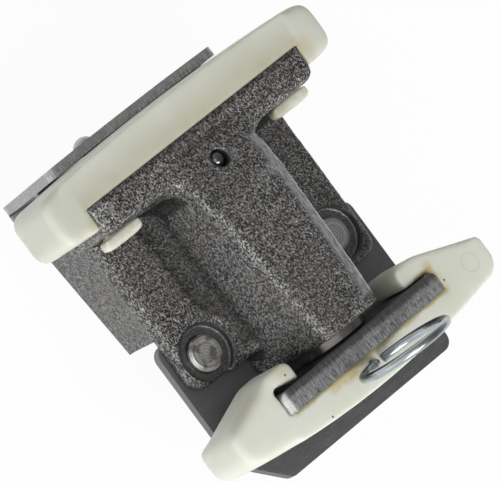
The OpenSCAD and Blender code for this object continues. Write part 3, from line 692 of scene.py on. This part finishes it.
def sheared_plate(name, node, material, roll_up=True):
    """A stamped plate with shear marks on its front; roll_up also rolls its upper edge and left end."""
    shape = cleaned(node)
    low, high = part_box(node)
    cut_rows(shape, Vector((1, 0, 0)), low.x, high.x, SHEAR_STRIP)
    cut_rows(shape, Vector((0, 1, 0)), low.y, high.y, SHEAR_ROW)
    shape.normal_update()
    marked = {v for face in shape.faces if face.normal.z > 0.95 for v in face.verts}
    for vertex in marked:
        across = Vector((vertex.co.x / (0.7 * MM), vertex.co.y / (4 * MM), 0))
        depth = SHEAR_RELIEF * (0.5 - noise.noise(across))
        if roll_up:
            depth += DIE_ROLL_DROP * float(ease(vertex.co.y, high.y - DIE_ROLL, high.y)) ** 2
            depth += END_ROLL_DROP * max(0, 1 - (vertex.co.x - low.x) / END_ROLL)
        vertex.co.z -= depth
    return add_piece(name, to_mesh(shape, name, 25), node, material)


def squeezed_spring(name, node, material):
    """A copy of a spring that rides on its body."""
    piece = add_piece(name, NODES[node].data.copy(), node, material)
    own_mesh(piece)


def stretched_spring(name, node, material):
    """A copy of a spring, left on no body."""
    piece = stand_in(name, NODES[node].data.copy(), node, material)
    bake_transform(piece)


def paint(node, material):
    """A CAD node that shows as it is."""
    NODES[node].data.materials.clear()
    NODES[node].data.materials.append(material)


def heads_and_ends(places):
    """The fixed shoe's pillow-shaped staked heads, and its front edge, which is soft at the ends."""
    x, y, z = places.T
    heads = 1 - ease(y, FLANGE_UNDER - 0.8 * MM, FLANGE_UNDER - 0.3 * MM)
    ends = ease(np.abs(x), FLANGE_HALF + 1.5 * MM, FLANGE_HALF + 4 * MM)
    in_front = ease(z, SHOE_REAR + 3 * MM, SHOE_REAR + 6 * MM)
    return (heads, PRONG_SMOOTHING), (ends * in_front, END_SMOOTHING)


def tip_and_hooks(places):
    """The moving shoe's left end, where the front runs softly into the flank and tip, and its hooks."""
    x, y, z = places.T
    beside_bar = 1 - ease(x, BAR_LOW.x - 3 * MM, BAR_LOW.x - 0.5 * MM)
    hooks = ease(y, BAR_HIGH.y - 0.5 * MM, BAR_HIGH.y + 0.5 * MM)
    tip = beside_bar * ease(z, MOVING_FRONT - 7 * MM, MOVING_FRONT - 4 * MM)
    return (hooks, HOOK_SMOOTHING), (tip, END_SMOOTHING)


housing_casting(cast_iron())
moulded_piece("fixed_shoe_nylon", "fixed_shoe", fixed_nylon(), heads_and_ends)
moulded_piece("moving_shoe_nylon", "moving_shoe", moving_nylon(), tip_and_hooks)
rounded_piece("back_plate_steel", "back_plate", dark_plate(), PLATE_EDGE)
burnished_zone = (BAR_HIGH.y - 1.6 * MM, BAR_HIGH.y - 0.6 * MM)
bar_steel = sheared_steel("plunger_head", 0.13, 0.55, 0.3, burnished=burnished_zone)
sheared_plate("plunger_head_steel", "plunger_head", bar_steel)
cover_steel = sheared_steel("cover_plate", 0.32, 0.72, 0.42, PLATE_SEAM)
sheared_plate("cover_plate_steel", "cover_plate", cover_steel, False)
spacer_steel = sheared_steel("spacer_plate", 0.2, 0.4, 0.14, PLATE_SEAM)
sheared_plate("spacer_plate_steel", "spacer_plate", spacer_steel, False)
paint("left_plate_rivet", turned_face("left_plate_rivet", 0.72, 0.7))
paint("right_plate_rivet", turned_face("right_plate_rivet", 0.56))
paint("cover_rivet", turned_face("cover_rivet", 0.45))
paint("gallery_ball_plug", bright_ball())
# The plunger's darker, warmer steel is painted shade and a painted reflection of the dark gap it sits in.
paint("plunger", turned_bar("plunger_steel", 0.24, 0.08))
inner_steel = turned_bar("inner_steel", 0.4)
for node in ("check_valve_seat", "check_ball", "check_valve_cage"):
    paint(node, inner_steel)
spring = spring_steel()
paint("stop_ring", spring)
stretched_spring("plunger_spring_wire", "plunger_spring", spring)
squeezed_spring("check_ball_spring_wire", "check_ball_spring", spring)
paint("lock_pin", zinc_wire())


# Floor, light and camera

def floor(white_share):
    """A pale floor that shows near white to the camera and to reflections, and keeps the shadow."""
    signs = ((-1, -1), (1, -1), (1, 1), (-1, 1))
    corners = [(x * FLOOR_REACH, y * FLOOR_REACH, -FLOOR_DROP) for x, y in signs]
    mesh = bpy.data.meshes.new("floor")
    mesh.from_pydata(corners, [], [(0, 1, 2, 3)])
    piece = bpy.data.objects.new("floor", mesh)
    bpy.context.scene.collection.objects.link(piece)
    s = Shader("floor", Roughness=0.8)
    s.put(s.surface.inputs["Base Color"], grey(0.9))
    path = s.add("ShaderNodeLightPath").outputs
    seen = s.math("MAXIMUM", s.math("MAXIMUM", path["Is Camera Ray"], path["Is Glossy Ray"]),
                  path["Is Transmission Ray"])
    white = s.add("ShaderNodeEmission", {"Color": grey(1.0), "Strength": 1.0}).outputs[0]
    blend = s.add("ShaderNodeMixShader", {0: s.times(seen, white_share), 1: s.surface.outputs[0], 2: white})
    s.put(s.tree.nodes["Material Output"].inputs["Surface"], blend.outputs[0])
    mesh.materials.append(s.material)


def studio_sky(horizon, zenith, far_side):
    """Soft light all round, brighter low down and on the left, as in a light tent."""
    world = bpy.data.worlds.new("studio")
    bpy.context.scene.world = world
    world.use_nodes = True
    tree = world.node_tree
    direction = tree.nodes.new("ShaderNodeTexCoord")
    axes = tree.nodes.new("ShaderNodeSeparateXYZ")
    tree.links.new(direction.outputs["Generated"], axes.inputs[0])
    levels = []
    by_height = ("Z", 0.1, 0.75, horizon, zenith)
    by_side = ("X", 0.0, 0.7, 1.0, far_side)
    for axis, start, stop, first, last in (by_height, by_side):
        level = tree.nodes.new("ShaderNodeMapRange")
        level.interpolation_type = "SMOOTHSTEP"
        for key, value in (("From Min", start), ("From Max", stop), ("To Min", first), ("To Max", last)):
            level.inputs[key].default_value = value
        tree.links.new(axes.outputs[axis], level.inputs["Value"])
        levels.append(level.outputs["Result"])
    strength = tree.nodes.new("ShaderNodeMath")
    strength.operation = "MULTIPLY"
    for socket, level in zip(strength.inputs, levels):
        tree.links.new(level, socket)
    sky = tree.nodes["Background"]
    sky.inputs["Color"].default_value = grey(1.0)
    tree.links.new(strength.outputs[0], sky.inputs["Strength"])


def soft_box(name, place, width, watts):
    """A square lamp that faces the part."""
    light = bpy.data.lights.new(name, "AREA")
    light.shape = "SQUARE"
    light.size = width
    light.energy = watts
    lamp = bpy.data.objects.new(name, light)
    lamp.location = place
    lamp.rotation_euler = (CAMERA_TARGET - lamp.location).to_track_quat("-Z", "Y").to_euler()
    bpy.context.scene.collection.objects.link(lamp)


def photo_camera():
    """The photograph's camera."""
    level_share = math.cos(CAMERA_ELEVATION)
    back = Vector((math.sin(CAMERA_AZIMUTH) * level_share, -math.cos(CAMERA_AZIMUTH) * level_share,
                   math.sin(CAMERA_ELEVATION)))
    level = UP.cross(back).normalized()
    upright = back.cross(level)
    right = math.cos(CAMERA_ROLL) * level + math.sin(CAMERA_ROLL) * upright
    top = math.cos(CAMERA_ROLL) * upright - math.sin(CAMERA_ROLL) * level
    data = bpy.data.cameras.new("camera")
    data.sensor_width = SENSOR_WIDTH
    data.lens = FOCAL_PIXELS * SENSOR_WIDTH / PHOTO_WIDTH
    camera = bpy.data.objects.new("camera", data)
    place = CAMERA_TARGET + back * CAMERA_DISTANCE
    camera.matrix_world = Matrix.Translation(place) @ Matrix((right, top, back)).transposed().to_4x4()
    bpy.context.scene.collection.objects.link(camera)
    bpy.context.scene.camera = camera


floor(0.95)
studio_sky(0.7, 0.28, 0.5)
soft_box("key_box", Vector((-0.35, -1.1, 1.15)), 1.0, 18.0)
soft_box("front_box", Vector((-0.77, 0.1, 1.32)), 1.2, 3.0)
soft_box("side_box", Vector((-1.3, -0.3, 0.4)), 1.2, 3.0)
photo_camera()

bpy.context.scene.view_settings.view_transform = "Standard"
